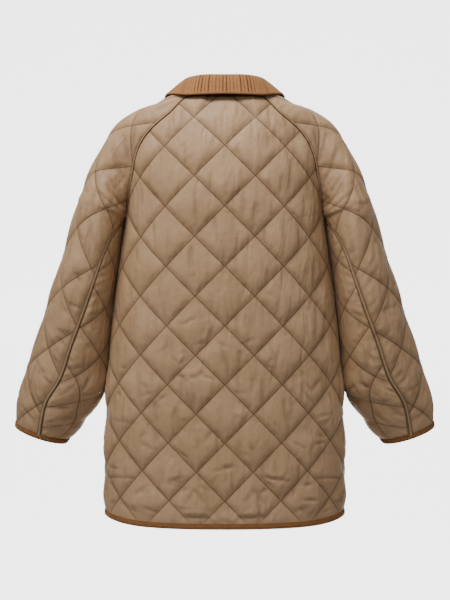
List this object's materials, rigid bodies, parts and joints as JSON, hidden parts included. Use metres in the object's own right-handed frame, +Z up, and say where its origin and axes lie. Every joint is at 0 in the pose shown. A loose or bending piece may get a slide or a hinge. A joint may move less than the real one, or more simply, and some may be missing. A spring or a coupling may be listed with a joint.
{
  "type": "quilted jacket",
  "caption": "Loose raglan-sleeved jacket in diamond-quilted cloth with a turned-down corduroy collar and corduroy-bound edges, in the hollow form that it has when worn.",
  "frame": {"origin": "middle of the back neck seam, where the collar meets the back", "axes": "+Z up to the collar, -Y towards the wearer's front, +X towards the wearer's left"},
  "size_m": [0.8068, 0.2795, 0.83],
  "materials": {
    "shell": "satin",
    "collar": "matte",
    "binding": "matte",
    "snaps": "satin"
  },
  "bodies": {
    "root": {"back": "shell", "front_left": "shell", "front_right": "shell", "sleeve_left": "shell", "sleeve_right": "shell", "collar_stand": "collar", "collar_leaf": "collar", "binding_hem": "binding", "binding_front_left": "binding", "binding_front_right": "binding", "binding_cuff_left": "binding", "binding_cuff_right": "binding", "snap_1": "snaps", "snap_2": "snaps", "snap_3": "snaps", "snap_4": "snaps", "snap_5": "snaps"}
  },
  "joints": []
}
